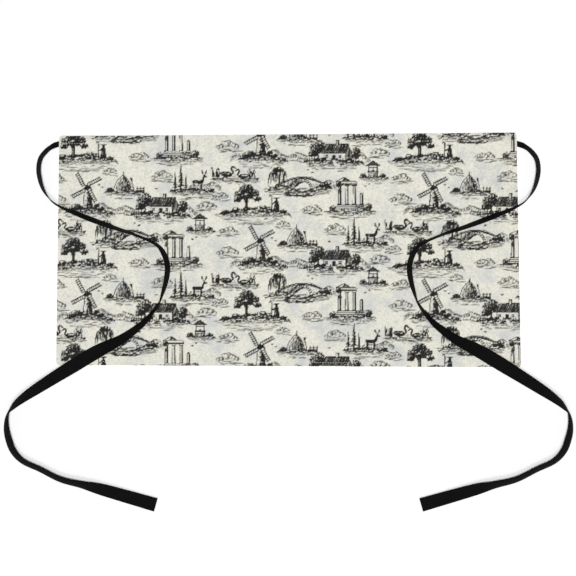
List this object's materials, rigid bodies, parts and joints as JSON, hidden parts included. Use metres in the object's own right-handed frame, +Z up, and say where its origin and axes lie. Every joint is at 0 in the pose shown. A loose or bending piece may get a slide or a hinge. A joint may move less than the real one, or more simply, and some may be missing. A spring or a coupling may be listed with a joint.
{
  "type": "half waist apron",
  "caption": "Rectangular half waist apron laid flat, with an open-topped front pocket panel divided by seams and a long flat tape tie at each waist corner.",
  "frame": {"origin": "under the middle of the apron, on the surface that it lies on", "axes": "+X across the apron to the right as seen from the front, +Y from the lower edge up to the waist, +Z up out of the front"},
  "size_m": [0.7408, 0.4926, 0.0285],
  "materials": {
    "printed_canvas": "plain-woven cream canvas with a black and grey engraved-style print",
    "black_tape": "ribbed woven tape, dull black"
  },
  "bodies": {
    "root": {"apron_panel": "printed_canvas", "pocket_panel": "printed_canvas", "tie_left": "black_tape", "tie_right": "black_tape"}
  },
  "joints": []
}
